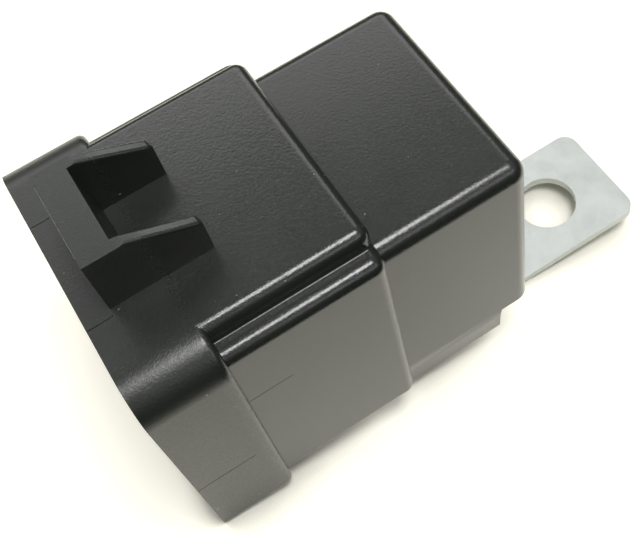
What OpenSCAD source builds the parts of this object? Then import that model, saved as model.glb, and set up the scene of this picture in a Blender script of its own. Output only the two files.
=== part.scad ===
// Shrouded automotive changeover relay with a slide-in mounting bracket.
// +X runs from the connector mouth to the bracket tab, +Z through the latch.
// Origin: middle of the footprint, on the underside of the bracket tab.

/* [Cover body] */
// Width and height of the square relay body
body_size = 28; // [27:0.5:30]
// Length of the body behind the connector skirt
body_l = 18.1; // [17.5:0.1:24]
// Radius of the outer edges of the body
body_r = 1.95; // [1:0.05:2.5]
// Radius of the lower edges of the body
body_foot_r = 0.45; // [0.2:0.05:0.8]
// Wall thickness of the body
body_wall = 1.2; // [0.9:0.1:1.6]

/* [Connector skirt] */
// Length of the skirt from its mouth to the step down to the body
skirt_l = 27.5; // [25:0.5:34]
// Outside width of the skirt
skirt_w = 31.8; // [31.2:0.1:34]
// Outside height of the skirt, without the raised panel
skirt_h = 31.5; // [31:0.1:34]
// Radius of the outer edges of the skirt
skirt_r = 1.45; // [0.6:0.05:2]
// Wall thickness of the skirt
skirt_wall = 1.3; // [1:0.05:1.5]

/* [Raised panel] */
// Width of the raised panel on the latch side
panel_w = 27; // [20:0.5:28]
// Height of the panel above the skirt
panel_rise = 2.45; // [1.6:0.05:3]
// Wall thickness over the raised panel
panel_wall = 1.6; // [1.2:0.1:2]

/* [Mouth collar] */
// Length of the thick collar around the mouth
collar_l = 9.4; // [7:0.1:12]
// Outside width of the collar
collar_w = 34; // [33:0.1:37]
// How far the collar stands below the skirt
collar_foot = 0.6; // [0.2:0.1:1.5]
// Radius of the two upper corners of the collar
collar_r = 4.5; // [3:0.1:5]
// Radius of the two lower corners of the collar
collar_foot_r = 1; // [0.5:0.1:2]
// Radius of the edge at the back end of the collar
collar_edge_r = 0.85; // [0.3:0.05:0.9]

/* [Latch] */
// Distance from the mouth to the latch bridge
latch_x = 2.9; // [1:0.1:4]
// Thickness of the latch bridge at its top
latch_t = 3.4; // [2:0.1:4]
// Extra thickness of the bridge where it meets the panel
latch_lean = 0.8; // [0:0.1:1.2]
// Width over the latch bridge and its ribs
latch_w = 12; // [11:0.1:16]
// Height of the latch bridge above the panel
latch_h = 7.8; // [6:0.1:9]
// Length of the two guard ribs, from the front of the bridge
rib_l = 11.4; // [9:0.1:14]
// Thickness of a guard rib at its root
rib_t = 1.5; // [1.2:0.1:2]
// Taper of the inner face of a guard rib
rib_draft = 0.25; // [0:0.05:0.4]
// Height of a guard rib at its low end
rib_end_h = 4.5; // [3:0.1:5.5]
// Radius of the upper corner at the low end of a rib
rib_corner_r = 0.8; // [0.3:0.1:1.2]

/* [Bracket] */
// Thickness of the bracket sheet
sheet_t = 1.2; // [1:0.1:1.3]
// Thickness of the side wall of each rail
rail_wall = 2.35; // [1.6:0.05:3]
// Width of the bracket tab
tab_w = 15.6; // [13:0.1:18]
// How far the tab reaches beyond the end of the body
tab_reach = 22.2; // [20:0.1:28]
// Depth of the tab's underside below the collar
tab_drop = 8.2; // [6:0.1:9]
// Distance from the end of the body to the first bend
bend_start = 0.3; // [0.2:0.1:1]
// Angle through which each bend turns
bend_angle = 90; // [70:1:90]
// Inside radius of the two bends
bend_r = 0.8; // [0.6:0.1:1.2]
// Diameter of the fixing hole
hole_d = 8; // [5:0.1:8.6]
// Distance from the end of the tab to the middle of the hole
hole_edge = 9.4; // [7:0.1:10]
// Radius of the tab's corners
tab_r = 2; // [0.5:0.1:3]
// Running clearance of the foot in its rails
rail_gap = 0.05; // [0.03:0.01:0.1]
// Thickness of the lip that each rail turns under the foot
rail_lip = 2.35; // [1.5:0.05:2.5]
// Width of each rail, with the lip that it turns under the foot
rail_lip_w = 5.2; // [4:0.1:6]
// How far each rail stands in from the side of the body
rail_inset = 0.4; // [0:0.05:0.5]
// Draft of the outer face of each rail
rail_draft = 0.2; // [0:0.05:0.4]
// Height of the standing rail pads above the foot
rail_pad = 1.15; // [1.1:0.05:1.5]
// Length of the rails
rail_l = 13.8; // [12.5:0.1:16]
// Length of the stop at the front of the rails
stop_l = 0.7; // [0.5:0.1:1]
// Distance from the skirt to the catch for the spring tongue
catch_x = 10.6; // [9:0.1:11]
// Length of the spring tongue in the foot
tongue_l = 4.4; // [3:0.1:5]
// Width of the spring tongue
tongue_w = 4; // [3:0.1:5]

/* [Base and terminals] */
// Distance from the mouth to the outer face of the base
base_x = 19.5; // [18:0.1:21]
// Thickness of the base flange
flange_t = 2; // [1.5:0.1:2.5]
// Thickness of the base plug that enters the body
plug_t = 2.2; // [1.5:0.1:2.5]
// Clearance between the base and the cover
base_gap = 0.15; // [0.05:0.05:0.3]
// Thickness of the sealing resin over the base
resin_t = 0.6; // [0.3:0.1:1]
// Width of a blade terminal
blade_w = 6.3; // [4.8:0.1:6.3]
// Thickness of a blade terminal
blade_t = 0.8; // [0.5:0.1:0.8]
// Length of a blade in front of the base
blade_l = 10.8; // [9:0.1:12]
// Sideways distance of the coil terminals from the axis
coil_pin_y = 8.4; // [8:0.1:8.8]
// Height of the coil terminals relative to the axis
coil_pin_z = -1; // [-1.5:0.1:-0.5]
// Height of the normally open terminal above the axis
no_pin_z = 8.4; // [8.2:0.1:8.8]
// Height of the common terminal relative to the axis
com_pin_z = -8; // [-8.3:0.1:-7.6]

/* [Magnet system] */
// Room for the return spring between the chamber wall and the yoke
spring_room = 1.8; // [1.75:0.05:2.1]
// Clearance between the bobbin and the yoke
coil_gap = 0.3; // [0.1:0.1:0.4]
// Outside diameter of the copper winding
winding_d = 12.4; // [10:0.1:12.4]
// Size of the square bobbin flanges
flange_size = 12.6; // [12.4:0.1:12.8]
// Thickness of a bobbin flange
bobbin_t = 1; // [0.6:0.1:1.2]
// Diameter of the iron core
core_d = 6; // [5:0.1:6.4]
// Diameter of the pole head
pole_d = 8; // [7:0.1:9]
// Thickness of the pole head
pole_t = 1; // [0.8:0.1:1.2]
// Thickness of the yoke
yoke_t = 1.5; // [1.2:0.1:1.6]
// Width of the yoke
yoke_w = 12; // [10:0.1:12.6]
// Thickness of the armature
armature_t = 1.2; // [1:0.1:1.4]
// Width of the armature
armature_w = 11.6; // [10:0.1:12]
// Stroke of the armature in degrees
stroke = 2.4; // [1.5:0.1:2.4]
// Length of the armature's tail behind its pivot
tail_l = 1.2; // [0.9:0.1:1.2]
// Width of the armature's tail
tail_w = 5; // [4:0.1:6]
// Distance from the foot of the yoke to the start of the return spring
leaf_x = 5; // [4:0.1:5.2]
// Length of the return spring that lies on the yoke
leaf_l = 7; // [6:0.1:7.2]
// Width of the return spring
leaf_w = 4; // [3:0.1:5]

/* [Contacts] */
// Thickness of the contact spring
arm_t = 0.3; // [0.2:0.05:0.4]
// Distance from the chamber wall to the middle of the contacts
contact_room = 2.5; // [2.4:0.1:2.8]
// Diameter of a contact head
contact_d = 3; // [2.4:0.1:3.2]
// Thickness of a contact head
contact_t = 0.5; // [0.4:0.05:0.55]
// Diameter of the contact and rivet shanks
shank_d = 1.6; // [1.2:0.1:1.8]
// Clearance left between contacts that touch in use
contact_gap = 0.03; // [0.02:0.01:0.05]

/* [Hidden] */
$fn = 64;
eps = 0.01;
cut = 1; // overshoot of through cuts

// Levels along Z, from the underside of the collar
axis_z = collar_foot + skirt_h / 2;
skirt_top = axis_z + skirt_h / 2;
panel_top = skirt_top + panel_rise;
latch_top = panel_top + latch_h;
body_low = axis_z - body_size / 2;
foot_top = body_low - rail_pad;
foot_low = foot_top - sheet_t;
tab_top = sheet_t - tab_drop;
// Clear widths inside the cover
skirt_in_w = skirt_w - 2 * skirt_wall;
skirt_in_h = skirt_h - 2 * skirt_wall;
body_in = body_size - 2 * body_wall;
foot_w = body_size - 2 * rail_wall - 2 * rail_gap;
// Stations along X, from the mouth
body_end = skirt_l + body_l;
tab_end = body_end + tab_reach;
hole_x = tab_end - hole_edge;
seat_x = base_x + flange_t;
plug_x = seat_x + plug_t;
roof_x = body_end - body_wall;
rail_end = skirt_l + rail_l;
// Magnet system and contacts, stacked from the roof of the body downwards
nc_plate_t = 0.7;
nc_plate_x = roof_x - 0.2 - nc_plate_t;
nc_head_t = 0.55;
arm_x = nc_plate_x - nc_head_t - contact_gap - contact_t - arm_t;
armature_x = arm_x - armature_t;
pivot_z = -body_in / 2 + spring_room;
coil_z = pivot_z + yoke_t + coil_gap + flange_size / 2;
contact_z = body_in / 2 - contact_room;
contact_reach = contact_z - pivot_z + contact_d / 2;
pole_reach = coil_z - pivot_z + pole_d / 2;
pole_x = armature_x - pole_reach * sin(stroke) - 0.04;
no_head_x = arm_x - contact_t - contact_reach * sin(stroke) - contact_gap;
no_head_t = 0.8;
bobbin_end = pole_x - pole_t - 0.05;
yoke_foot_x = plug_x + 1.3;
bobbin_x = yoke_foot_x + yoke_t + 0.05;
yoke_end = armature_x - 0.1;
shank_gap = 0.02;
head_d = 1.75 * shank_d;
head_t = 0.25 * shank_d;
slot_gap = 0.05;
jog_x = plug_x + 0.05;
nc_side_y = coil_pin_y - blade_t / 2 - 0.4;

// ---------- helpers ----------

// From mouth-and-collar coordinates to the part's own frame
module placed() translate([-tab_end / 2, 0, tab_drop]) children();
// The same, with Z measured from the relay axis
module on_axis() placed() translate([0, 0, axis_z]) children();
// Extrudes a section drawn in Y and Z along +X
module along_x(x, l) translate([x, 0, 0]) rotate([90, 0, 90]) linear_extrude(l) children();
// Extrudes a profile drawn in X and Z along Y, about the middle plane
module along_y(w, y = 0) translate([0, y, 0]) rotate([90, 0, 0]) linear_extrude(w, center = true) children();
// Rectangle with rounded corners, about its middle
module rounded(w, h, r) {
    square([w - 2 * r, h], center = true);
    square([w, h - 2 * r], center = true);
    for (i = [-1, 1], j = [-1, 1]) translate([i * (w / 2 - r), j * (h / 2 - r)]) circle(r);
}
// Rectangle from the origin along +X whose two far corners are rounded
module far_rounded(l, h, r) {
    translate([0, -h / 2]) square([l - r, h]);
    translate([0, r - h / 2]) square([l, h - 2 * r]);
    for (j = [-1, 1]) translate([l - r, j * (h / 2 - r)]) circle(r);
}
// Rectangle about its middle, rounded by r at the top and by q at the bottom
module footed(w, h, r, q) {
    translate([r - w / 2, -h / 2]) square([w - 2 * r, h]);
    translate([q - w / 2, -h / 2]) square([w - 2 * q, h / 2]);
    translate([-w / 2, q - h / 2]) square([w, h - q - r]);
    for (i = [-1, 1]) {
        translate([i * (w / 2 - r), h / 2 - r]) circle(r);
        translate([i * (w / 2 - q), q - h / 2]) circle(q);
    }
}
// Moulded block along +X, open-ended at x, with every other edge rounded
module moulded(x, l, w, h, r) {
    intersection() {
        along_x(x, l) rounded(w, h, r);
        translate([x, 0, 0]) linear_extrude(h + 2, center = true) far_rounded(l, w, r);
        translate([x, 0, 0]) along_y(w + 2) far_rounded(l, h, r);
    }
}
// Disc along +X whose far rim is rounded
module rimmed_disc(r, l, edge) {
    rotate([90, 0, 90]) rotate_extrude() {
        square([r - edge, l]);
        square([r, l - edge]);
        translate([r - edge, l - edge]) intersection() {
            circle(edge);
            square(edge);
        }
    }
}
// Cylinder along +X
module rod_x(x, l, d) translate([x, 0, 0]) rotate([0, 90, 0]) cylinder(h = l, d = d);
// Box given by its two opposite corners
module span(a, b) translate(a) cube(b - a);

// ---------- housing ----------

module collar() {
    rim = min(collar_edge_r, collar_foot_r - 0.05);
    low = -axis_z;
    high = panel_top - axis_z;
    hull() for (s = [-1, 1]) {
        translate([0, s * (collar_w / 2 - collar_r), high - collar_r]) rimmed_disc(collar_r, collar_l, rim, $fn = 48);
        translate([0, s * (collar_w / 2 - collar_foot_r), low + collar_foot_r]) rimmed_disc(collar_foot_r, collar_l, rim, $fn = 32);
    }
}

module raised_panel() {
    // The panel runs down into the skirt, which it shares its end edges with
    depth = panel_rise + 2 * skirt_r + 4;
    translate([0, 0, panel_top - axis_z - depth / 2]) moulded(0, skirt_l, panel_w, depth, skirt_r);
}

module latch() {
    base = panel_top - axis_z;
    rise = base + latch_h;
    back = latch_x + rib_l;
    flat = latch_x + latch_t + latch_lean + 0.3;
    foot = latch_x + latch_t + latch_lean;
    // Bridge, thicker at its root
    along_y(latch_w) polygon([[latch_x, base - 1], [latch_x, rise], [latch_x + latch_t, rise], [foot, base], [foot, base - 1]]);
    // Guard ribs, falling towards the back and thinner at their crest
    fall = atan2(latch_h - rib_end_h, back - flat);
    r = rib_corner_r;
    c = [back - r, base + rib_end_h + r * tan(fall) - r / cos(fall)];
    for (s = [-1, 1]) intersection() {
        along_y(latch_w + 2) union() {
            polygon([[latch_x, base - 1], [latch_x, rise], [flat, rise], c + r * [sin(fall), cos(fall)], c, c + [r, 0], [back, base - 1]]);
            translate(c) circle(r);
        }
        along_x(latch_x, rib_l) polygon([for (p = [[latch_w / 2, base - 1], [latch_w / 2, rise], [latch_w / 2 - rib_t + rib_draft, rise], [latch_w / 2 - rib_t, base], [latch_w / 2 - rib_t, base - 1]]) [s * p[0], p[1]]]);
    }
}

module body() {
    far = body_l + 5;
    intersection() {
        along_x(skirt_l - 5, far) footed(body_size, body_size, body_r, body_foot_r);
        translate([skirt_l - 5, 0, 0]) linear_extrude(body_size + 2, center = true) far_rounded(far, body_size, body_r);
        // Only the upper edge of the far end takes the large radius
        translate([body_end - 2 * far, 0, 0]) along_y(body_size + 2) footed(4 * far, body_size, body_r, body_foot_r);
    }
}

module bracket_rails() {
    low = foot_low - rail_gap - rail_lip - axis_z;
    high = body_low - axis_z;
    inner = foot_w / 2 + rail_gap;
    lip = inner - rail_lip_w + rail_wall;
    side = body_size / 2;
    for (s = [-1, 1])
        along_x(skirt_l - 1, rail_l + 1) polygon([for (p = [
            [side, high + body_foot_r + 1], [side, high + body_foot_r], [side - rail_inset, foot_low - axis_z], [side - rail_inset - rail_draft, low],
            [lip, low], [lip, low + rail_lip],
            [inner, low + rail_lip], [inner, foot_top + rail_gap - axis_z],
            [lip, foot_top + rail_gap - axis_z], [lip, high + body_wall / 2],
            [side - 2, high + body_foot_r + 1]]) [s * p[0], p[1]]]);
    // Stop at the front of the rails
    span([skirt_l - 1, -inner - eps, low], [skirt_l + stop_l, inner + eps, high + body_wall / 2]);
    // Catch for the bracket's spring tongue
    span([skirt_l + catch_x, -tongue_w / 2 - 1, foot_top + 0.3 - axis_z], [skirt_l + catch_x + 1, tongue_w / 2 + 1, high + body_wall / 2]);
}

module housing() color([0.13, 0.13, 0.12]) on_axis() difference() {
    union() {
        body();
        moulded(0, skirt_l, skirt_w, skirt_h, skirt_r);
        raised_panel();
        collar();
        latch();
        bracket_rails();
    }
    // Connector mouth, with the space under the raised panel
    along_x(-1, seat_x + 1) rounded(skirt_in_w, skirt_in_h, 1);
    span([-1, -panel_w / 2 + panel_wall, 0], [base_x - 1, panel_w / 2 - panel_wall, panel_top - axis_z - panel_wall]);
    // Relay chamber
    along_x(seat_x - 1, roof_x - seat_x + 1) rounded(body_in, body_in, body_r - body_wall + 0.25);
}

// ---------- bracket ----------

// One bend of the sheet, centred on the inside radius, swept from angle a to angle b
module bend(a, b) {
    n = bend_r + sheet_t;
    intersection() {
        difference() {
            circle(n);
            circle(bend_r);
        }
        polygon([[0, 0], 2 * n * [cos(a), sin(a)], 2 * n * [cos((a + b) / 2), sin((a + b) / 2)], 2 * n * [cos(b), sin(b)]]);
    }
}

// Side profile of the bracket: foot, falling web and tab
module bracket_profile() {
    rm = bend_r + sheet_t;
    x1 = body_end + bend_start;
    fall = foot_top - tab_top;
    // The two bends take up part of the fall, the straight web takes the rest
    web = (fall - (bend_r + rm) * (1 - cos(bend_angle))) / sin(bend_angle);
    x2 = x1 + rm * sin(bend_angle) + web * cos(bend_angle) + bend_r * sin(bend_angle);
    translate([skirt_l + stop_l + 0.1, foot_low]) square([x1 - skirt_l - stop_l - 0.1 + eps, sheet_t]);
    translate([x1, foot_top - rm]) {
        bend(90 - bend_angle, 90);
        rotate(-bend_angle) translate([-eps, bend_r]) square([web + 2 * eps, sheet_t]);
    }
    translate([x2, tab_top + bend_r]) bend(270 - bend_angle, 270);
    translate([x2 - eps, tab_top - sheet_t]) square([tab_end - x2 + eps, sheet_t]);
}

module bracket_outline() {
    shoulder = rail_end - 0.3;
    translate([skirt_l, -foot_w / 2]) square([shoulder - skirt_l, foot_w]);
    translate([shoulder - 1, -tab_w / 2]) square([tab_end - tab_r - shoulder + 1, tab_w]);
    translate([tab_end - tab_r - 1, -tab_w / 2 + tab_r]) square([tab_r + 1, tab_w - 2 * tab_r]);
    for (s = [-1, 1]) translate([tab_end - tab_r, s * (tab_w / 2 - tab_r)]) circle(tab_r);
}

module bracket() color([0.72, 0.73, 0.72]) placed() {
    tongue_x = skirt_l + catch_x - tongue_l - 0.2;
    difference() {
        intersection() {
            along_y(foot_w + 4) bracket_profile();
            translate([0, 0, -tab_drop - 2]) linear_extrude(tab_drop + 8) bracket_outline();
        }
        translate([hole_x, 0, tab_top - sheet_t - 1]) cylinder(h = sheet_t + 2, d = hole_d);
        span([tongue_x, -tongue_w / 2 - 0.4, foot_low - 1], [tongue_x + tongue_l + 0.6, tongue_w / 2 + 0.4, foot_top + 1]);
    }
    // Spring tongue, cut from the foot and set up behind the catch
    along_y(tongue_w) polygon([[tongue_x - eps, foot_low], [tongue_x - eps, foot_top], [tongue_x + 1, foot_top],
        [tongue_x + tongue_l, foot_top + 0.75], [tongue_x + tongue_l, foot_top - 0.05], [tongue_x + 1.2, foot_low]]);
}

// ---------- base ----------

// Slots for the five blades, drawn in Y and Z
module blade_slots(gap) {
    for (s = [-1, 1]) translate([s * coil_pin_y, coil_pin_z]) square([blade_t + 2 * gap, blade_w + 2 * gap], center = true);
    translate([0, com_pin_z]) square([blade_t + 2 * gap, blade_w + 2 * gap], center = true);
    for (z = [0, no_pin_z]) translate([0, z]) square([blade_w + 2 * gap, blade_t + 2 * gap], center = true);
}

module base() color([0.17, 0.17, 0.16]) on_axis() difference() {
    union() {
        along_x(base_x, flange_t) rounded(skirt_in_w - 2 * base_gap, skirt_in_h - 2 * base_gap, 1);
        along_x(seat_x - eps, plug_t + eps) rounded(body_in - 2 * base_gap, body_in - 2 * base_gap, 1);
        // Pads that carry the yoke
        for (s = [-1, 1]) span([plug_x - eps, s * (yoke_w / 2 - 1) - 1, pivot_z + 2], [yoke_foot_x, s * (yoke_w / 2 - 1) + 1, coil_z + 2]);
    }
    along_x(base_x - 1, plug_x - base_x + 2) blade_slots(slot_gap);
}

module sealing_resin() color([0.1, 0.1, 0.11]) on_axis() difference() {
    along_x(base_x - resin_t, resin_t) rounded(skirt_in_w - 0.04, skirt_in_h - 0.04, 1);
    along_x(base_x - resin_t - 1, resin_t + 2) blade_slots(0.02);
}

// ---------- terminals ----------

// Blade with a bevelled tip, lying in the XY plane about the X axis
module blade(x_end) {
    tip = base_x - blade_l;
    intersection() {
        linear_extrude(blade_t, center = true) polygon([[tip, -blade_w / 2 + 1.2], [tip, blade_w / 2 - 1.2], [tip + 1.2, blade_w / 2], [x_end, blade_w / 2], [x_end, -blade_w / 2], [tip + 1.2, -blade_w / 2]]);
        along_y(blade_w + 2) polygon([[tip, -blade_t / 2 + 0.25], [tip, blade_t / 2 - 0.25], [tip + 1, blade_t / 2], [x_end, blade_t / 2], [x_end, -blade_t / 2], [tip + 1, -blade_t / 2]]);
    }
}

// The common terminal is welded to the foot of the yoke
module terminal_30() color([0.75, 0.72, 0.66]) on_axis()
    translate([0, 0, com_pin_z]) rotate([90, 0, 0]) blade(yoke_foot_x);

// Coil terminals end in a post beside the winding
module coil_terminal(s) {
    translate([0, s * coil_pin_y, coil_pin_z]) rotate([90, 0, 0]) blade(plug_x);
    translate([0, s * coil_pin_y, 0]) span([plug_x - eps, -blade_t / 2, coil_z - 1], [bobbin_x + bobbin_t + 2, blade_t / 2, coil_z + 1]);
}
module terminal_85() color([0.75, 0.72, 0.66]) on_axis() coil_terminal(1);
module terminal_86() color([0.75, 0.72, 0.66]) on_axis() coil_terminal(-1);

// The normally open terminal rises behind the coil and turns under the contact
module terminal_87() color([0.75, 0.72, 0.66]) on_axis() difference() {
    plate_x = no_head_x - no_head_t - blade_t;
    side = contact_d / 2 + 0.5;
    union() {
        translate([0, 0, no_pin_z]) blade(plug_x);
        span([plug_x - eps, -side, no_pin_z - blade_t / 2], [plate_x + blade_t, side, no_pin_z + blade_t / 2]);
        span([plate_x, -side, no_pin_z - blade_t / 2], [plate_x + blade_t, side, contact_z + side]);
    }
    translate([0, 0, contact_z]) rod_x(plate_x - cut, blade_t + 2 * cut, shank_d + 2 * shank_gap);
}

// The normally closed terminal steps round the coil and crosses over the contact
module terminal_87a() color([0.75, 0.72, 0.66]) on_axis() difference() {
    low = coil_pin_z + blade_w / 2 + 0.85;
    high = no_pin_z - blade_t / 2 - 1;
    side = nc_side_y;
    half = contact_d / 2 + 0.5;
    union() {
        blade(jog_x + blade_t);
        span([jog_x, -blade_w / 2, -blade_t / 2], [jog_x + blade_t, blade_w / 2, high]);
        span([jog_x, -blade_w / 2, low], [jog_x + blade_t, side + blade_t, high]);
        span([jog_x, side, low], [nc_plate_x + nc_plate_t, side + blade_t, high]);
        span([nc_plate_x, side + blade_t - 3.6, low], [nc_plate_x + nc_plate_t, side + blade_t, contact_z + half]);
        span([nc_plate_x, -half, contact_z - half], [nc_plate_x + nc_plate_t, side + blade_t, contact_z + half]);
    }
    translate([0, 0, contact_z]) rod_x(nc_plate_x - cut, nc_plate_t + 2 * cut, shank_d + 2 * shank_gap);
}

// ---------- magnet system ----------

module yoke() color([0.66, 0.66, 0.64]) on_axis() difference() {
    along_y(yoke_w) difference() {
        union() {
            translate([yoke_foot_x, pivot_z + yoke_t]) square([yoke_t, coil_z + core_d / 2 + 2 - pivot_z - yoke_t]);
            translate([yoke_foot_x + yoke_t, pivot_z]) square([yoke_end - yoke_foot_x - yoke_t, yoke_t]);
            translate([yoke_foot_x + yoke_t, pivot_z + yoke_t]) circle(yoke_t);
        }
        translate([yoke_foot_x + yoke_t, pivot_z + yoke_t]) square([yoke_end, flange_size]);
    }
    translate([0, 0, coil_z]) rod_x(yoke_foot_x - cut, yoke_t + 2 * cut, core_d + 2 * shank_gap);
    translate([yoke_foot_x + leaf_x + 1.25 * shank_d, 0, pivot_z - cut]) cylinder(h = yoke_t + 2 * cut, d = shank_d + 2 * shank_gap);
}

module core() color([0.7, 0.7, 0.68]) on_axis() translate([0, 0, coil_z]) {
    rod_x(yoke_foot_x, pole_x - yoke_foot_x - pole_t + eps, core_d);
    rod_x(pole_x - pole_t, pole_t, pole_d);
}

module bobbin() color([0.85, 0.83, 0.76]) on_axis() translate([0, 0, coil_z]) difference() {
    union() {
        rod_x(bobbin_x, bobbin_end - bobbin_x, core_d + 1.8);
        for (x = [bobbin_x, bobbin_end - bobbin_t]) along_x(x, bobbin_t) rounded(flange_size, flange_size, 1.5);
    }
    rod_x(bobbin_x - cut, bobbin_end - bobbin_x + 2 * cut, core_d + 0.1);
}

module winding() color([0.72, 0.36, 0.2]) on_axis() translate([0, 0, coil_z]) difference() {
    rod_x(bobbin_x + bobbin_t, bobbin_end - bobbin_x - 2 * bobbin_t, winding_d);
    rod_x(bobbin_x, bobbin_end - bobbin_x, core_d + 1.8);
}

// Ends of the winding, led straight across to the coil terminals
module coil_lead(s) {
    reach = coil_pin_y - blade_t / 2 - winding_d / 2;
    translate([bobbin_x + bobbin_t + 1, s * (winding_d / 2 + reach / 2), coil_z]) rotate([90, 0, 0]) cylinder(h = reach, d = 0.4, center = true, $fn = 24);
}
module coil_lead_85() color([0.72, 0.36, 0.2]) on_axis() coil_lead(1);
module coil_lead_86() color([0.72, 0.36, 0.2]) on_axis() coil_lead(-1);

// ---------- armature ----------

rivet_z = coil_z - 0.45 * pole_d;
rivet_y = armature_w / 2 - 2 * shank_d;

module rivet_holes(x, l) for (s = [-1, 1]) translate([0, s * rivet_y, rivet_z]) rod_x(x, l, shank_d + 2 * shank_gap);

module armature() color([0.68, 0.68, 0.66]) on_axis() difference() {
    top = coil_z + pole_d / 2 + 1.6;
    along_x(armature_x, armature_t) polygon([
        [-armature_w / 2, pivot_z], [-armature_w / 2, coil_z], [-armature_w / 4, top], [armature_w / 4, top], [armature_w / 2, coil_z],
        [armature_w / 2, pivot_z], [tail_w / 2, pivot_z], [tail_w / 2, pivot_z - tail_l], [-tail_w / 2, pivot_z - tail_l], [-tail_w / 2, pivot_z]]);
    rivet_holes(armature_x - cut, armature_t + 2 * cut);
}

// One edge of the spring, from its root to its tip or back
function arm_edge(i) = let (root = rivet_y + head_d / 2 + 0.4, tip = contact_d / 2 + 0.5,
    edge = [[root, rivet_z - head_d / 2 - 0.6], [root, rivet_z + head_d / 2 + 0.8], [tip, coil_z + pole_d / 2 + 1], [tip, contact_z + tip - 0.1]])
    [for (k = [0:3]) let (p = edge[i < 0 ? k : 3 - k]) [i * p[0], p[1]]];

module contact_arm() color([0.78, 0.55, 0.3]) on_axis() difference() {
    along_x(arm_x, arm_t) polygon([for (i = [-1, 1], p = arm_edge(i)) p]);
    rivet_holes(arm_x - cut, arm_t + 2 * cut);
    translate([0, 0, contact_z]) rod_x(arm_x - cut, arm_t + 2 * cut, shank_d + 2 * shank_gap);
}

module moving_contact() color([0.85, 0.85, 0.84]) on_axis() translate([0, 0, contact_z]) {
    rod_x(arm_x - contact_t, contact_t, contact_d);
    rod_x(arm_x - eps, arm_t + 2 * eps, shank_d);
    rod_x(arm_x + arm_t, contact_t, contact_d);
}

module arm_rivet(s) translate([0, s * rivet_y, rivet_z]) {
    rod_x(armature_x, arm_x + arm_t - armature_x + eps, shank_d);
    rod_x(arm_x + arm_t, head_t, head_d);
}
module arm_rivet_left() color([0.7, 0.68, 0.62]) on_axis() arm_rivet(1);
module arm_rivet_right() color([0.7, 0.68, 0.62]) on_axis() arm_rivet(-1);

module contact_no() color([0.85, 0.85, 0.84]) on_axis() translate([0, 0, contact_z]) {
    rod_x(no_head_x - no_head_t, no_head_t, contact_d);
    rod_x(no_head_x - no_head_t - blade_t, blade_t + eps, shank_d);
}

module contact_nc() color([0.85, 0.85, 0.84]) on_axis() translate([0, 0, contact_z]) {
    rod_x(nc_plate_x - nc_head_t, nc_head_t, contact_d);
    rod_x(nc_plate_x - eps, nc_plate_t + eps, shank_d);
}

// Leaf on the back of the yoke that presses the armature's tail outwards
module return_spring() color([0.78, 0.6, 0.36]) on_axis() difference() {
    inner = pivot_z - arm_t;
    outer = pivot_z - tail_l - 0.1 * tail_l - arm_t;
    fix = yoke_foot_x + leaf_x;
    step = fix + leaf_l;
    slope = 1.25 * tail_l;
    lip = arm_x + 0.1;
    along_y(leaf_w) polygon([[fix, pivot_z], [step, pivot_z], [step + slope, outer + arm_t], [lip, outer + arm_t], [lip, outer + 1.2 * tail_l],
        [lip + arm_t, outer + 1.2 * tail_l], [lip + arm_t, outer], [step + slope - 0.5 * arm_t, outer], [step - 0.5 * arm_t, inner], [fix, inner]]);
    translate([fix + 1.25 * shank_d, 0, pivot_z - cut]) cylinder(h = 2 * cut, d = shank_d + 2 * shank_gap);
}

module spring_rivet() color([0.7, 0.68, 0.62]) on_axis() translate([yoke_foot_x + leaf_x + 1.25 * shank_d, 0, pivot_z - arm_t]) {
    translate([0, 0, -head_t]) cylinder(h = head_t, d = head_d);
    translate([0, 0, -head_t / 2]) cylinder(h = head_t / 2 + arm_t + yoke_t, d = shank_d);
}

housing();
bracket();
base();
sealing_resin();
terminal_30();
terminal_85();
terminal_86();
terminal_87();
terminal_87a();
yoke();
core();
bobbin();
winding();
coil_lead_85();
coil_lead_86();
armature();
contact_arm();
moving_contact();
arm_rivet_left();
arm_rivet_right();
contact_no();
contact_nc();
return_spring();
spring_rivet();
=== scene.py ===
import math

import bmesh
import bpy
from mathutils import Matrix, Vector


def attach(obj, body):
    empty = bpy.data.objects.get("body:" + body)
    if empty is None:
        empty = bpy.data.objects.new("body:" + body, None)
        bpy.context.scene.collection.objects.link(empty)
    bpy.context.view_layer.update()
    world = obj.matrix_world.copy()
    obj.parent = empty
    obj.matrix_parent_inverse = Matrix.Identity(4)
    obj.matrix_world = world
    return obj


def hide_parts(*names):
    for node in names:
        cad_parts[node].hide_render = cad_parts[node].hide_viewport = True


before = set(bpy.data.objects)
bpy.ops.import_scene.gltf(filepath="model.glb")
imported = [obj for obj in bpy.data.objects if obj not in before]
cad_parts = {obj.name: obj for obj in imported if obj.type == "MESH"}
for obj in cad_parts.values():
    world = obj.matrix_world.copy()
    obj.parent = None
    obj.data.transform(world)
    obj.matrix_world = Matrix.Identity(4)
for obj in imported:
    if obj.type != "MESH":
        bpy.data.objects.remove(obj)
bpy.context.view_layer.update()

SCENE = bpy.context.scene
RELAY = "relay"  # the body that the cover rides on
MM = 0.001
X, Z = 0, 2

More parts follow.
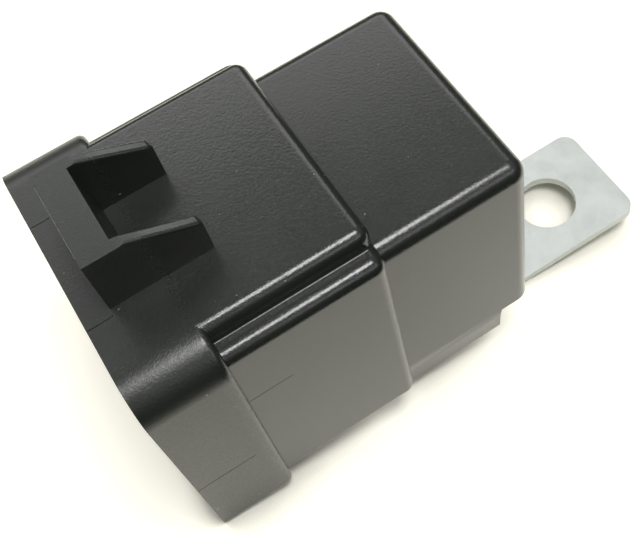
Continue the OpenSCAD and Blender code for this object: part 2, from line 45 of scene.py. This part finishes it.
# Sizes in millimetres, from the mouth plane and the underside of the collar
MOUTH_X, COLLAR_Z = -33.9, 8.2  # where those two lie in the part's own frame
AXIS_Z = 16.35
BODY_HALF, BODY_END, BODY_R, BODY_FOOT_R = 14, 45.6, 1.95, 0.45
SKIRT_HALF, SKIRT_END, SKIRT_LOW, SKIRT_TOP, SKIRT_R = 15.9, 27.5, 0.6, 32.1, 1.45
PANEL_HALF, PANEL_TOP, PANEL_WALL = 13.5, 34.55, 1.6
COLLAR_HALF, COLLAR_END, COLLAR_R, COLLAR_FOOT_R, COLLAR_EDGE_R = 17, 9.4, 4.5, 1.0, 0.8
ROOT_R = 0.22  # fillet between the panel's wall and the ledge beside it
LATCH_FRONT, LATCH_T, LATCH_FOOT, LATCH_HALF = 2.9, 3.4, 4.2, 6
LATCH_TOP, LATCH_H, LATCH_EDGE_R = 42.35, 7.8, 0.12
RIB_FLAT, RIB_BACK, RIB_END_H, RIB_CORNER_R = 7.4, 14.3, 4.5, 0.8
RIB_INNER, RIB_DRAFT, RIB_EDGE_R = 4.5, 0.25, 0.38
RAIL_L, RAIL_LOW, RAIL_HIGH = 13.8, -2.4, 2.95
RAIL_EDGE_R, RAIL_END_R = 0.25, 0.35
STOP_HALF, STOP_L = 11.7, 0.7
CATCH_X, CATCH_T, CATCH_HALF, CATCH_LOW = 10.6, 1, 3, 1.5
MOUTH_DEPTH, MOUTH_HALF_W, MOUTH_HALF_H = 21.5, 14.6, 14.45
HEADROOM_DEPTH, HEADROOM_HALF = 18.5, 11.9
CHAMBER_START, CHAMBER_END, CHAMBER_HALF, CAVITY_R = 20.5, 44.4, 12.8, 1.0
LINE_HALF = 0.045  # half the width of a parting line
OVERLAP = 1  # how far joined pieces reach into each other
NEAR = 0.01  # how close to a plane an edge lies that is picked by it
# The part lies tilted: its tab stands on the table, this far behind the mouth
TAB_BEND_X = 48.7
FLOOR_TILT = math.atan2(COLLAR_Z, TAB_BEND_X)


def place(x, y, z):
    """A point in the part's own frame, in metres."""
    return Vector(((x + MOUTH_X) * MM, y * MM, (z + COLLAR_Z) * MM))


# ---------------------------------------------------------------- camera
SENSOR = 36.0
FOCAL_PER_WIDTH = 1.72046875
SHIFT = (-0.11390625, -0.006875)  # in widths of the picture
CAMERA_AT = (8.56, -64.81, 123.44)
CAMERA_RIGHT = Vector((0.837742, -0.535103, -0.108876))
CAMERA_UP = Vector((0.514931, 0.70775, 0.483669))


def camera():
    data = bpy.data.cameras.new("camera")
    data.sensor_width = SENSOR
    data.lens = SENSOR * FOCAL_PER_WIDTH
    data.shift_x, data.shift_y = SHIFT
    data.clip_start = 0.005
    data.clip_end = 20
    ob = bpy.data.objects.new("camera", data)
    SCENE.collection.objects.link(ob)
    back = CAMERA_RIGHT.cross(CAMERA_UP)
    pose = Matrix((CAMERA_RIGHT, CAMERA_UP, back)).transposed().to_4x4()
    pose.translation = place(*CAMERA_AT)
    ob.matrix_world = pose
    SCENE.camera = ob


# ---------------------------------------------------------------- mesh helpers
def to_object(name, bm):
    mesh = bpy.data.meshes.new(name)
    bm.to_mesh(mesh)
    bm.free()
    ob = bpy.data.objects.new(name, mesh)
    SCENE.collection.objects.link(ob)
    return ob


def block(lo, hi):
    """A box given by its two opposite corners."""
    bm = bmesh.new()
    bmesh.ops.create_cube(bm, size=1)
    lo, hi = Vector(lo), Vector(hi)
    for v in bm.verts:
        v.co = Vector([lo[i] + (v.co[i] + 0.5) * (hi[i] - lo[i]) for i in range(3)])
    return bm


def prism(points, axis, a, b):
    """A closed outline swept from a to b along axis; points are the two other coordinates."""
    bm = bmesh.new()
    rings = []
    for t in (a, b):
        ring = []
        for u, w in points:
            co = {"x": (t, u, w), "y": (u, t, w)}[axis]
            ring.append(bm.verts.new(co))
        rings.append(ring)
    first, last = rings
    n = len(points)
    bm.faces.new(first)
    bm.faces.new(last)
    for i in range(n):
        k = (i + 1) % n
        bm.faces.new((first[i], first[k], last[k], last[i]))
    bmesh.ops.recalc_face_normals(bm, faces=bm.faces)
    return bm


def along(d, axis):
    """Whether an edge with direction d runs along an axis."""
    return abs(d[axis]) > 0.9


def round_edges(bm, width, segments, keep):
    """Rounds the edges for which keep(middle, direction) is true."""
    edges = []
    for e in bm.edges:
        a, b = e.verts[0].co, e.verts[1].co
        if keep((a + b) / 2, (b - a).normalized()):
            edges.append(e)
    bmesh.ops.bevel(
        bm, geom=edges, offset=width, offset_type="OFFSET", segments=segments,
        profile=0.5, affect="EDGES", clamp_overlap=True)
    return bm


def bake(ob):
    """Replaces an object's mesh by the one that its modifiers make."""
    deps = bpy.context.evaluated_depsgraph_get()
    mesh = bpy.data.meshes.new_from_object(ob.evaluated_get(deps))
    old = ob.data
    ob.modifiers.clear()
    ob.data = mesh
    bpy.data.meshes.remove(old)


def boolean(ob, tools, operation):
    for tool in tools:
        m = ob.modifiers.new("boolean", "BOOLEAN")
        m.object = tool
        m.operation = operation
        m.solver = "EXACT"
    bake(ob)
    for tool in tools:
        bpy.data.objects.remove(tool)


def finish_mesh(ob, angle=32, weld=0.0004):
    """Welds, marks hard edges, takes millimetres to the part's own frame and evens the normals."""
    bm = bmesh.new()
    bm.from_mesh(ob.data)
    bmesh.ops.remove_doubles(bm, verts=bm.verts, dist=weld)
    for f in bm.faces:
        f.smooth = True
    for e in bm.edges:
        e.smooth = len(e.link_faces) == 2 and e.calc_face_angle(0) < math.radians(angle)
    bm.transform(Matrix.Translation(place(0, 0, 0)) @ Matrix.Scale(MM, 4))
    bm.to_mesh(ob.data)
    bm.free()
    m = ob.modifiers.new("normals", "WEIGHTED_NORMAL")
    m.keep_sharp = True
    m.weight = 100
    m.mode = "FACE_AREA"
    bake(ob)
    return ob


# ---------------------------------------------------------------- housing
def body_block():
    low = AXIS_Z - BODY_HALF
    start = 22
    bm = block((start, -BODY_HALF, low), (BODY_END, BODY_HALF, AXIS_Z + BODY_HALF))
    # The lower edges take a small radius, the others a large one
    round_edges(bm, BODY_R, 9, lambda c, d: c.z > low + 0.1 and (c.x > BODY_END - NEAR or along(d, X)))
    round_edges(bm, BODY_FOOT_R, 4, lambda c, d: c.z < low + NEAR and c.x > start + 0.1)
    return bm


def skirt_block():
    bm = block((0, -SKIRT_HALF, SKIRT_LOW), (SKIRT_END, SKIRT_HALF, SKIRT_TOP))
    return round_edges(bm, SKIRT_R, 8, lambda c, d: c.x > SKIRT_END - NEAR or along(d, X))


def panel_block():
    bm = block((0, -PANEL_HALF, 24), (SKIRT_END, PANEL_HALF, PANEL_TOP))

    def outer(c, d):
        top = c.z > PANEL_TOP - NEAR and (along(d, X) or c.x > 1)
        return top or (c.x > SKIRT_END - NEAR and along(d, Z))

    return round_edges(bm, SKIRT_R, 8, outer)


def collar_block():
    bm = block((0, -COLLAR_HALF, 0), (COLLAR_END, COLLAR_HALF, PANEL_TOP))
    round_edges(bm, COLLAR_R, 14, lambda c, d: along(d, X) and c.z > AXIS_Z)
    round_edges(bm, COLLAR_FOOT_R, 5, lambda c, d: along(d, X) and c.z < 1 and abs(c.y) > COLLAR_HALF - 1)
    return round_edges(bm, COLLAR_EDGE_R, 5, lambda c, d: c.x > COLLAR_END - NEAR and abs(d.x) < 0.1)


def root_fillet(s):
    """Small fillet along the foot of the panel's wall, on side s."""
    low = SKIRT_TOP - 0.3
    outline = [(s * (PANEL_HALF - 0.1), low), (s * (PANEL_HALF - 0.1), SKIRT_TOP + ROOT_R)]
    for t in range(7):
        a = t * math.pi / 12
        y = PANEL_HALF + ROOT_R - ROOT_R * math.cos(a)
        outline.append((s * y, SKIRT_TOP + ROOT_R - ROOT_R * math.sin(a)))
    outline.append((s * (PANEL_HALF + ROOT_R), low))
    return prism(outline, "x", 5, SKIRT_END - 1.0)


def latch_bridge():
    low, foot = PANEL_TOP, LATCH_FRONT + LATCH_FOOT
    outline = [(LATCH_FRONT, low - OVERLAP), (LATCH_FRONT, LATCH_TOP), (LATCH_FRONT + LATCH_T, LATCH_TOP),
               (foot, low), (foot, low - OVERLAP)]
    bm = prism(outline, "y", -LATCH_HALF, LATCH_HALF)
    return round_edges(bm, LATCH_EDGE_R, 2, lambda c, d: c.z > low + 0.5)


def guard_rib(s):
    """Rib that falls towards the back, thinner at its crest, on side s."""
    low, r = PANEL_TOP, RIB_CORNER_R
    fall = math.atan2(LATCH_H - RIB_END_H, RIB_BACK - RIB_FLAT)
    cx, cz = RIB_BACK - r, low + RIB_END_H + r * math.tan(fall) - r / math.cos(fall)
    outline = [(LATCH_FRONT, low - OVERLAP), (LATCH_FRONT, LATCH_TOP), (RIB_FLAT, LATCH_TOP)]
    for i in range(8):
        a = math.pi / 2 - fall - i * (math.pi / 2 - fall) / 7
        outline.append((cx + r * math.cos(a), cz + r * math.sin(a)))
    outline.append((RIB_BACK, low - OVERLAP))
    bm = prism(outline, "y", RIB_INNER * s, LATCH_HALF * s)
    for v in bm.verts:
        if abs(abs(v.co.y) - RIB_INNER) < NEAR:
            v.co.y = s * (RIB_INNER + RIB_DRAFT * (v.co.z - low) / LATCH_H)
    crest = RIB_FLAT + 0.1
    return round_edges(bm, RIB_EDGE_R, 5, lambda c, d: c.z > low + 0.3 and abs(d.y) < 0.5 and c.x > crest)


def bracket_rail(s):
    """Channel that holds the bracket's foot, on side s."""
    outline = [(14, 3.8), (14, 2.8), (13.6, 0.3), (13.4, RAIL_LOW), (8.75, RAIL_LOW), (8.75, -0.05),
               (11.65, -0.05), (11.65, 1.25), (8.75, 1.25), (8.75, RAIL_HIGH), (12, 3.8)]
    end, outer = SKIRT_END + RAIL_L, 13.3
    bm = prism([(s * y, z) for y, z in outline], "x", SKIRT_END - OVERLAP, end)
    round_edges(bm, RAIL_END_R, 3, lambda c, d: c.x > end - 0.8 and abs(c.y) > outer and c.z < 2.5)
    low = RAIL_LOW + 0.1
    return round_edges(bm, RAIL_EDGE_R, 3, lambda c, d: along(d, X) and c.z < low and abs(c.y) > outer)


def rail_stop():
    return block((SKIRT_END - OVERLAP, -STOP_HALF, RAIL_LOW), (SKIRT_END + STOP_L, STOP_HALF, RAIL_HIGH))


def tongue_catch():
    x = SKIRT_END + CATCH_X
    return block((x, -CATCH_HALF, CATCH_LOW), (x + CATCH_T, CATCH_HALF, RAIL_HIGH))


def cavities():
    """Connector mouth, the space under the panel, and the relay chamber."""
    def lengthwise(c, d):
        return along(d, X)

    mouth = block((-1, -MOUTH_HALF_W, AXIS_Z - MOUTH_HALF_H),
                  (MOUTH_DEPTH, MOUTH_HALF_W, AXIS_Z + MOUTH_HALF_H))
    headroom = block((-1, -HEADROOM_HALF, AXIS_Z), (HEADROOM_DEPTH, HEADROOM_HALF, PANEL_TOP - PANEL_WALL))
    chamber = block((CHAMBER_START, -CHAMBER_HALF, AXIS_Z - CHAMBER_HALF),
                    (CHAMBER_END, CHAMBER_HALF, AXIS_Z + CHAMBER_HALF))
    for room in (mouth, chamber):
        round_edges(room, CAVITY_R, 5, lengthwise)
    return [mouth, headroom, chamber]


def parting_lines():
    """Hair-thin slits left by the mould's inserts: two on the collar's top, two on the near side."""
    lines = []
    for y, end, depth in ((-6.85, 2.8, 0.10), (6.95, 2.2, 0.08)):
        lines.append(block((-0.5, y - LINE_HALF, PANEL_TOP - depth), (end, y + LINE_HALF, PANEL_TOP + 1)))
    on_collar, on_skirt = (12.6, -0.5, 7.2, COLLAR_HALF, 0.06), (22.2, 9.0, 14.6, SKIRT_HALF, 0.05)
    for z, start, end, wall, depth in (on_collar, on_skirt):
        lines.append(block((start, -18, z - LINE_HALF), (end, -wall + depth, z + LINE_HALF)))
    return lines


def housing_mesh():
    solids = [skirt_block(), panel_block(), collar_block(), root_fillet(-1), root_fillet(1), latch_bridge(),
              guard_rib(-1), guard_rib(1), bracket_rail(-1), bracket_rail(1), rail_stop(), tongue_catch()]
    shell = to_object("housing_shell", body_block())
    boolean(shell, [to_object("joined", bm) for bm in solids], "UNION")
    boolean(shell, [to_object("cut", bm) for bm in cavities() + parting_lines()], "DIFFERENCE")
    return finish_mesh(shell)


# ---------------------------------------------------------------- materials
class Nodes:
    """A material and short calls that add nodes to it."""

    def __init__(self, name):
        self.mat = bpy.data.materials.new(name)
        self.mat.use_nodes = True
        self.tree = self.mat.node_tree
        self.bsdf = self.tree.nodes["Principled BSDF"]
        self.out = self.tree.nodes["Material Output"]
        self.pos = self.add("ShaderNodeTexCoord").outputs["Object"]

    def add(self, kind, **props):
        n = self.tree.nodes.new(kind)
        for k, v in props.items():
            setattr(n, k, v)
        return n

    def link(self, a, b):
        self.tree.links.new(a, b)

    def noise(self, scale, detail=3, rough=0.55, stretch=None):
        n = self.add("ShaderNodeTexNoise")
        n.inputs["Scale"].default_value = scale
        n.inputs["Detail"].default_value = detail
        n.inputs["Roughness"].default_value = rough
        v = self.pos
        if stretch:
            m = self.add("ShaderNodeMapping")
            m.inputs["Scale"].default_value = stretch
            self.link(v, m.inputs["Vector"])
            v = m.outputs[0]
        self.link(v, n.inputs["Vector"])
        return n.outputs["Fac"]

    def ramp(self, fac, stops):
        n = self.add("ShaderNodeValToRGB")
        e = n.color_ramp.elements
        while len(e) < len(stops):
            e.new(0.5)
        for i, (p, c) in enumerate(stops):
            e[i].position = p
            e[i].color = (*c, 1) if isinstance(c, tuple) else (c, c, c, 1)
        self.link(fac, n.inputs[0])
        return n.outputs[0]

    def feed(self, socket, value):
        """Links an output to a socket, or sets the socket to a number or colour."""
        if isinstance(value, (int, float)):
            socket.default_value = value
        elif isinstance(value, tuple):
            socket.default_value = (*value, 1)
        else:
            self.link(value, socket)

    def math(self, op, *values):
        n = self.add("ShaderNodeMath", operation=op)
        for i, v in enumerate(values):
            self.feed(n.inputs[i], v)
        return n.outputs[0]

    def mix(self, fac, a, b):
        n = self.add("ShaderNodeMix", data_type="RGBA")
        for i, v in ((0, fac), (6, a), (7, b)):
            self.feed(n.inputs[i], v)
        return n.outputs[2]

    def bump(self, height, strength, distance):
        n = self.add("ShaderNodeBump")
        n.inputs["Strength"].default_value = strength
        n.inputs["Distance"].default_value = distance
        self.link(height, n.inputs["Height"])
        return n.outputs[0]

    def set(self, **sockets):
        for k, v in sockets.items():
            self.feed(self.bsdf.inputs[k.replace("_", " ")], v)
        return self.mat


def cover_plastic():
    """Black nylon with a fine spark-eroded grain; the collar is duller than the rest."""
    n = Nodes("cover_plastic")
    cloud = n.noise(90, 4, 0.6)
    base = n.ramp(cloud, [(0.3, (0.0095, 0.0118, 0.0090)), (0.7, (0.0140, 0.0168, 0.0132))])
    dust = n.ramp(n.noise(1500, 1, 0.5), [(0.79, 0.0), (0.81, 1.0)])
    base = n.mix(n.math("MULTIPLY", dust, 0.8), base, (0.25, 0.25, 0.24))
    grain = n.noise(4200, 2, 0.6)
    rough = n.math("ADD", n.math("MULTIPLY", grain, 0.26), n.math("MULTIPLY_ADD", cloud, 0.08, 0.02))
    xyz = n.add("ShaderNodeSeparateXYZ")
    n.link(n.pos, xyz.inputs[0])
    dull = n.add("ShaderNodeMapRange")
    collar_end, panel_start, added = -0.0262, -0.0242, 0.17
    for i, v in enumerate((panel_start, collar_end, 0.0, added)):
        dull.inputs[i + 1].default_value = v
    n.link(xyz.outputs["X"], dull.inputs[0])
    rough = n.math("ADD", rough, dull.outputs[0])
    normal = n.bump(n.noise(3400, 2, 0.6), 1.0, 0.00002)
    # A second, sparkling reflection comes from the steep flanks of the grain
    glint = n.bump(n.noise(6500, 1, 0.5), 1.0, 0.00006)
    return n.set(
        Base_Color=base, Roughness=rough, Normal=normal, IOR=1.47,
        Coat_Weight=0.3, Coat_Roughness=0.2, Coat_Normal=glint)


def base_plastic():
    n = Nodes("base_plastic")
    grain = n.noise(1200, 4, 0.6)
    base = n.ramp(grain, [(0.3, (0.018, 0.018, 0.017)), (0.7, (0.032, 0.031, 0.028))])
    rough = n.math("MULTIPLY_ADD", grain, 0.2, 0.35)
    return n.set(Base_Color=base, Roughness=rough, Normal=n.bump(n.noise(5000, 2), 0.3, 0.00002))


def resin():
    n = Nodes("resin")
    cloud = n.noise(160, 3, 0.5)
    base = n.ramp(cloud, [(0.3, (0.008, 0.008, 0.009)), (0.7, (0.018, 0.017, 0.018))])
    rough = n.math("MULTIPLY_ADD", cloud, 0.12, 0.08)
    return n.set(Base_Color=base, Roughness=rough, Normal=n.bump(n.noise(120, 3), 0.5, 0.00025))


def galvanised():
    """Zinc with its crystal cells under a dull cloudy film."""
    n = Nodes("galvanised_steel")
    v = n.add("ShaderNodeTexVoronoi")
    v.inputs["Scale"].default_value = 420
    n.link(n.pos, v.inputs["Vector"])
    cells = n.ramp(v.outputs["Color"], [(0.1, 0.35), (0.9, 0.65)])
    cloud = n.noise(220, 4, 0.65)
    fine = n.noise(2600, 3, 0.6)
    tone = n.math("ADD", n.math("MULTIPLY", cells, 0.25), n.math("MULTIPLY", cloud, 0.75))
    base = n.ramp(tone, [(0.25, (0.46, 0.49, 0.47)), (0.55, (0.56, 0.59, 0.565)), (0.8, (0.64, 0.66, 0.635))])
    rough = n.math("MULTIPLY_ADD", cloud, 0.25, 0.34)
    height = n.math("ADD", n.math("MULTIPLY", fine, 0.5), n.math("MULTIPLY", cloud, 0.8))
    return n.set(Base_Color=base, Metallic=0.75, Roughness=rough, Normal=n.bump(height, 0.25, 0.00004))


def metal(name, dark, light, rough, scale, stretch=None):
    n = Nodes(name)
    grain = n.noise(scale, 4, 0.6, stretch=stretch)
    base = n.ramp(grain, [(0.3, dark), (0.7, light)])
    normal = n.bump(n.noise(scale * 3, 3, stretch=stretch), 0.2, 0.00002)
    return n.set(
        Base_Color=base, Metallic=1.0, Roughness=n.math("MULTIPLY_ADD", grain, 0.2, rough), Normal=normal)


def copper_winding():
    """Enamelled wire with a bump for each turn, and painted shade that darkens the colour into the groove
    between turns.
    """
    n = Nodes("enamelled_copper")
    w = n.add("ShaderNodeTexWave", wave_type="BANDS", bands_direction="X", wave_profile="SIN")
    w.inputs["Scale"].default_value = 1100
    w.inputs["Distortion"].default_value = 0.6
    n.link(n.pos, w.inputs["Vector"])
    turn_bumps_and_groove_shade = w.outputs["Fac"]
    # The colour darkens with the same bands as the bump: painted shade in the grooves between the turns.
    base = n.ramp(turn_bumps_and_groove_shade, [(0.1, (0.22, 0.07, 0.03)), (0.8, (0.62, 0.27, 0.13))])
    rough = n.math("MULTIPLY_ADD", n.noise(500), 0.2, 0.25)
    return n.set(Base_Color=base, Metallic=0.8, Roughness=rough, Normal=n.bump(turn_bumps_and_groove_shade, 0.8, 0.00006))


def bobbin_plastic():
    n = Nodes("bobbin_plastic")
    grain = n.noise(700, 4)
    base = n.ramp(grain, [(0.3, (0.62, 0.58, 0.46)), (0.7, (0.72, 0.68, 0.57))])
    rough = n.math("MULTIPLY_ADD", grain, 0.2, 0.4)
    normal = n.bump(n.noise(3000), 0.2, 0.00002)
    return n.set(Base_Color=base, Roughness=rough, Normal=normal, Subsurface_Weight=0.05)


def floor_material():
    """Plain pale table. Open parts of it are seen as white; close to the part it keeps the lamps' shadow,
    plus painted contact shade where its glow fades out by ambient occlusion.
    """
    n = Nodes("floor")
    base = n.ramp(n.noise(14, 3), [(0.3, (0.70, 0.685, 0.605)), (0.7, (0.72, 0.705, 0.625))])
    n.set(Base_Color=base, Roughness=0.6, Specular_IOR_Level=0.1)
    rays = n.add("ShaderNodeLightPath").outputs
    mirrored = n.math("MAXIMUM", rays["Is Glossy Ray"], rays["Is Transmission Ray"])
    seen = n.math("MAXIMUM", rays["Is Camera Ray"], mirrored)
    # Ambient occlusion fades the floor's glow out close to the part: painted contact shade.
    ao = n.add("ShaderNodeAmbientOcclusion", samples=8)
    ao.inputs["Distance"].default_value = 0.0055
    glow_outside_painted_shade = n.ramp(ao.outputs["AO"], [(0.54, 0.0), (0.84, 1.0)])
    emit = n.add("ShaderNodeEmission")
    emit.inputs["Color"].default_value = (1, 0.975, 0.86, 1)
    n.link(n.math("MULTIPLY", n.math("MULTIPLY", seen, glow_outside_painted_shade), 0.52), emit.inputs["Strength"])
    add = n.add("ShaderNodeAddShader")
    n.link(n.bsdf.outputs[0], add.inputs[0])
    n.link(emit.outputs[0], add.inputs[1])
    n.link(add.outputs[0], n.out.inputs["Surface"])
    return n.mat


# ---------------------------------------------------------------- light and stage
FLOOR_CORNERS = ((-0.3, -0.055), (0.4, -0.055), (0.4, 0.4), (-0.3, 0.4))
SKY = [(0.0, 0.06), (0.35, 0.16), (0.65, 0.45), (0.9, 0.42)]  # height and strength, dark near the horizon
LAMP_AIM = (0, 0, 0.02)
# Place, size and radiance
LAMPS = {
    "overhead": ((0.07, -0.13, 0.62), (0.26, 0.18), 17.0),
    "front": ((0.25, -0.55, 0.46), (0.5, 0.2), 1.8),
    "window": ((0.10, 0.64, 0.58), (1.25, 0.33), 2.3),
}


def lamp(name, pos, size, radiance):
    data = bpy.data.lights.new(name, "AREA")
    data.shape = "RECTANGLE"
    data.size, data.size_y = size
    data.energy = radiance * math.pi * size[0] * size[1]
    ob = bpy.data.objects.new(name, data)
    SCENE.collection.objects.link(ob)
    ob.location = pos
    ob.rotation_euler = (Vector(LAMP_AIM) - Vector(pos)).to_track_quat("-Z", "Y").to_euler()


def table():
    """A sheet of white paper that ends in front of the part."""
    bm = bmesh.new()
    bm.faces.new([bm.verts.new((x, y, 0)) for x, y in FLOOR_CORNERS])
    floor = to_object("floor", bm)
    floor.matrix_world = Matrix.Translation(place(0, 0, 0)) @ Matrix.Rotation(FLOOR_TILT, 4, "Y")
    floor.data.materials.append(floor_material())


def sky():
    """The room is bright above, dark near the horizon, and white where the camera sees it."""
    world = bpy.data.worlds.new("world")
    world.use_nodes = True
    tree = world.node_tree
    background = tree.nodes["Background"]
    kinds = ("LightPath", "TexCoord", "SeparateXYZ", "ValToRGB", "Mix")
    rays, co, xyz, ramp, mix = [tree.nodes.new("ShaderNode" + k) for k in kinds]
    e = ramp.color_ramp.elements
    while len(e) < len(SKY):
        e.new(0.5)
    for k, (at, v) in enumerate(SKY):
        e[k].position = at
        e[k].color = (v, v, v, 1)
    mix.data_type = "FLOAT"
    mix.inputs[3].default_value = 1.0
    tree.links.new(co.outputs["Generated"], xyz.inputs[0])
    tree.links.new(xyz.outputs["Z"], ramp.inputs[0])
    tree.links.new(rays.outputs["Is Camera Ray"], mix.inputs[0])
    tree.links.new(ramp.outputs[0], mix.inputs[2])
    tree.links.new(mix.outputs[0], background.inputs["Strength"])
    background.inputs["Color"].default_value = (1, 1, 0.99, 1)
    SCENE.world = world


# ---------------------------------------------------------------- build
camera()
table()
sky()
for name, (pos, size, radiance) in LAMPS.items():
    lamp(name, pos, size, radiance)
SCENE.view_settings.view_transform = "Standard"

shell = housing_mesh()
shell.data.materials.clear()
shell.data.materials.append(cover_plastic())
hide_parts("housing")
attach(shell, RELAY)

LOOKS = [
    (galvanised(), ["bracket"]),
    (base_plastic(), ["base"]),
    (resin(), ["sealing_resin"]),
    (bobbin_plastic(), ["bobbin"]),
    (copper_winding(), ["winding", "coil_lead_85", "coil_lead_86"]),
    (metal("tinned_brass", (0.62, 0.60, 0.55), (0.78, 0.76, 0.70), 0.22, 1200),
     ["terminal_30", "terminal_85", "terminal_86", "terminal_87", "terminal_87a",
      "arm_rivet_left", "arm_rivet_right", "spring_rivet"]),
    (metal("iron", (0.42, 0.42, 0.41), (0.58, 0.58, 0.56), 0.3, 900), ["yoke", "core", "armature"]),
    (metal("spring_bronze", (0.55, 0.34, 0.16), (0.72, 0.48, 0.26), 0.25, 1500, (1, 0.1, 1)),
     ["contact_arm", "return_spring"]),
    (metal("contact_silver", (0.70, 0.70, 0.68), (0.86, 0.86, 0.84), 0.2, 1500),
     ["moving_contact", "contact_no", "contact_nc"]),
]
for look, names in LOOKS:
    for name in names:
        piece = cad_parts[name]
        piece.data.materials.clear()
        piece.data.materials.append(look)
